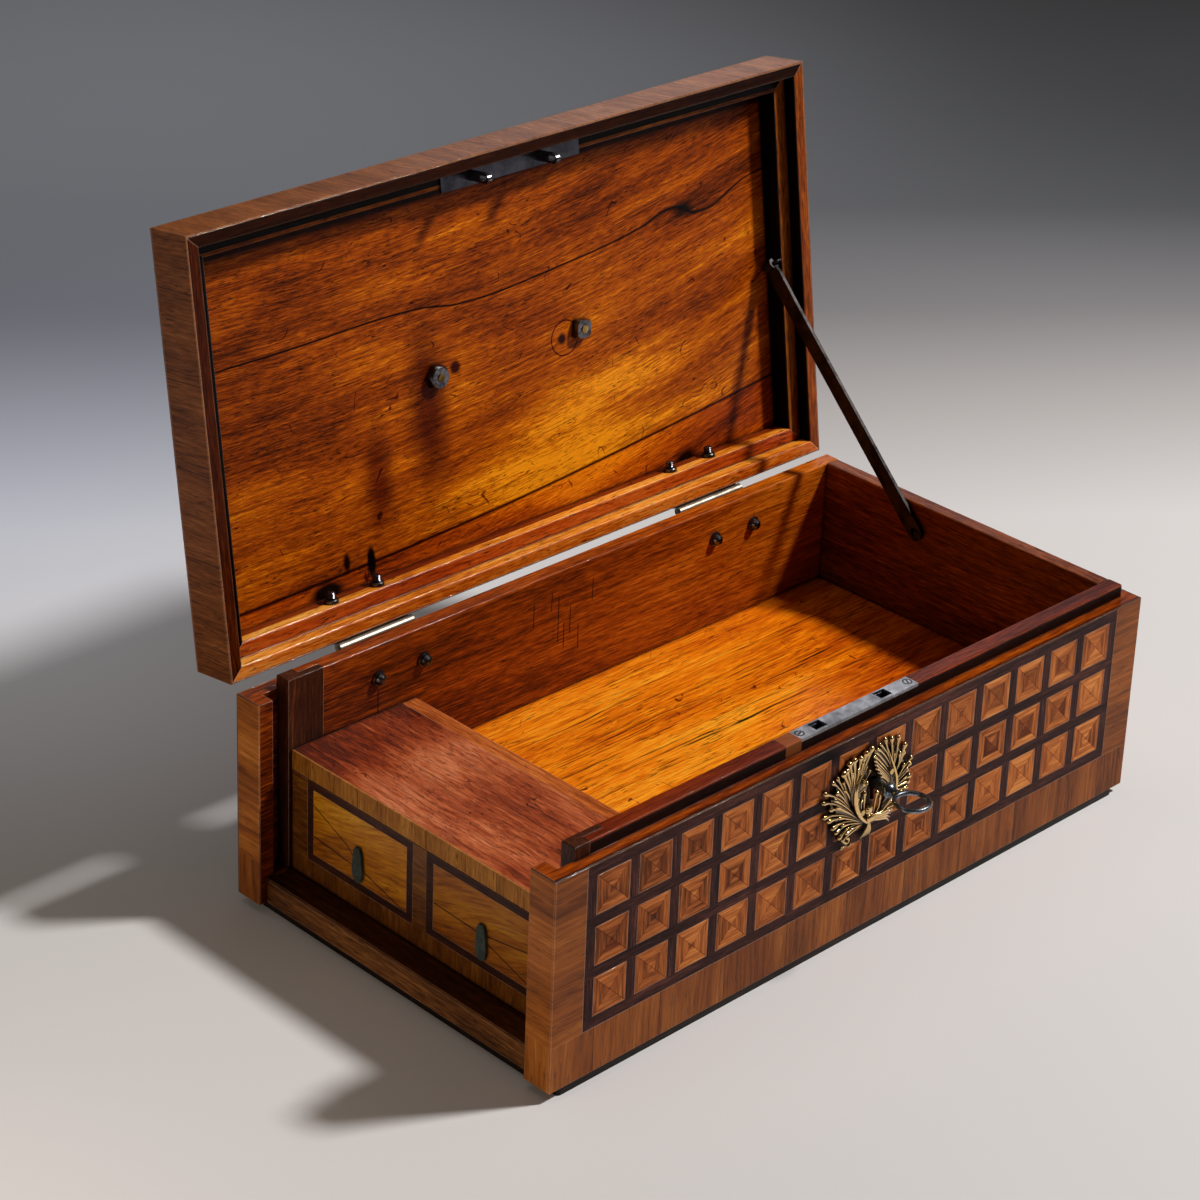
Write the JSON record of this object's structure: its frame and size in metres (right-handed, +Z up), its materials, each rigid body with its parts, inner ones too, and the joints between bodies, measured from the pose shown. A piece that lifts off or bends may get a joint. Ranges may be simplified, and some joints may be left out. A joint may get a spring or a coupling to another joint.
{
  "type": "letter writing box with drawer",
  "caption": "Veneered writing box with a stayed hinged lid, lock and key, small end drawers and a drop handle on the lid.",
  "frame": {"origin": "centre of the case's flat underside, on the surface it stands on", "axes": "+X along the case's front to its right end, +Y from the front to the hinged back, +Z up; the drawers open towards -X"},
  "size_m": [0.4, 0.3061, 0.3257],
  "materials": {
    "mahogany": "polished mahogany with a warm shellac surface",
    "case_walnut": "plain polished back veneer",
    "lid_panel_wood": "figured mahogany panel inside the lid",
    "floor_wood": "bright streaked mahogany floor",
    "ebonised_wood": "dark stained wood",
    "deal": "plain oiled wood",
    "crossband_wood": "golden cross-cut banding veneer",
    "lattice_wood": "dark kingwood lattice",
    "square_wood": "quartered tulipwood squares",
    "drawer_veneer": "golden drawer veneer",
    "string_wood": "dark inlaid line",
    "tab_leather": "dark green leather",
    "gilt_bronze": "aged gilt bronze",
    "hinge_brass": "worn brass",
    "dark_steel": "dark oxidised steel",
    "black_iron": "blackened iron",
    "lock_steel": "grey steel",
    "key_steel": "worn steel"
  },
  "bodies": {
    "case": {"back_veneer": "case_walnut", "back_wall": "mahogany", "base_board": "ebonised_wood", "bottom_board": "deal", "case_bands": "crossband_wood", "case_lattice": "lattice_wood", "case_squares": "square_wood", "compartment_edge": "crossband_wood", "compartment_top": "mahogany", "drawer_divider": "deal", "escutcheon_bow": "gilt_bronze", "escutcheon_leaves": "gilt_bronze", "escutcheon_pins": "gilt_bronze", "floor_bearers": "deal", "floor_board": "floor_wood", "front_wall": "mahogany", "guide_blocks": "ebonised_wood", "hinge_bolts_case": "dark_steel", "hinge_leaves_case": "hinge_brass", "lock_case": "lock_steel", "lock_plate": "lock_steel", "lock_screws": "lock_steel", "partition": "mahogany", "post_veneers": "crossband_wood", "right_wall": "mahogany", "sill": "crossband_wood", "stay_peg": "black_iron", "hinge_pins": "hinge_brass"},
    "lid": {"handle_nuts": "dark_steel", "handle_posts": "gilt_bronze", "hinge_bolts_lid": "dark_steel", "hinge_leaves_lid": "hinge_brass", "lid_edge_bands": "crossband_wood", "lid_lattice": "lattice_wood", "lid_panel": "lid_panel_wood", "lid_rail_back": "mahogany", "lid_rail_front": "mahogany", "lid_rail_left": "mahogany", "lid_rail_right": "mahogany", "lid_squares": "square_wood", "lid_top_bands": "crossband_wood", "stay_staple": "black_iron", "strike_plate": "dark_steel", "strike_screws": "dark_steel", "strike_staples": "dark_steel"},
    "stay": {"stay_bar": "black_iron"},
    "handle": {"handle_bail": "gilt_bronze"},
    "drawer_back": {"drawer_back_front": "drawer_veneer", "drawer_back_box": "deal", "drawer_back_bottom": "deal", "drawer_back_string": "string_wood", "drawer_back_tab": "tab_leather"},
    "drawer_front": {"drawer_front_front": "drawer_veneer", "drawer_front_box": "deal", "drawer_front_bottom": "deal", "drawer_front_string": "string_wood", "drawer_front_tab": "tab_leather"},
    "key": {"key": "key_steel"},
    "bolt": {"lock_bolt": "lock_steel"}
  },
  "joints": [
    {"name": "lid_hinge", "type": "hinge", "parent": "case", "child": "lid", "pos_m": [0, 0.1099, 0.111], "axis": [1, 0, 0], "range_deg": [0, 98]},
    {"name": "stay_fold", "type": "hinge", "parent": "lid", "child": "stay", "pos_m": [0.1823, 0.13835, 0.21647], "axis": [0, 0.7122, -0.7019], "range_deg": [0, 80]},
    {"name": "handle_swing", "type": "hinge", "parent": "lid", "child": "handle", "pos_m": [0, 0.15608, 0.21327], "axis": [1, 0, 0], "range_deg": [-12, 176]},
    {"name": "drawer_back_slide", "type": "slide", "parent": "case", "child": "drawer_back", "axis": [-1, 0, 0], "range_m": [0, 0.05]},
    {"name": "drawer_front_slide", "type": "slide", "parent": "case", "child": "drawer_front", "axis": [-1, 0, 0], "range_m": [0, 0.05]},
    {"name": "key_turn", "type": "hinge", "parent": "case", "child": "key", "pos_m": [0.002, -0.1, 0.082], "axis": [0, 1, 0], "range_deg": [0, 180]},
    {"name": "bolt_slide", "type": "slide", "parent": "case", "child": "bolt", "axis": [-1, 0, 0], "range_m": [0, 0.0075]}
  ],
  "couplings": [
    {"joint": "stay_fold", "follows": "lid_hinge", "ratio": 0.81633},
    {"joint": "bolt_slide", "follows": "key_turn", "m_per_rad": 0.0023873}
  ]
}
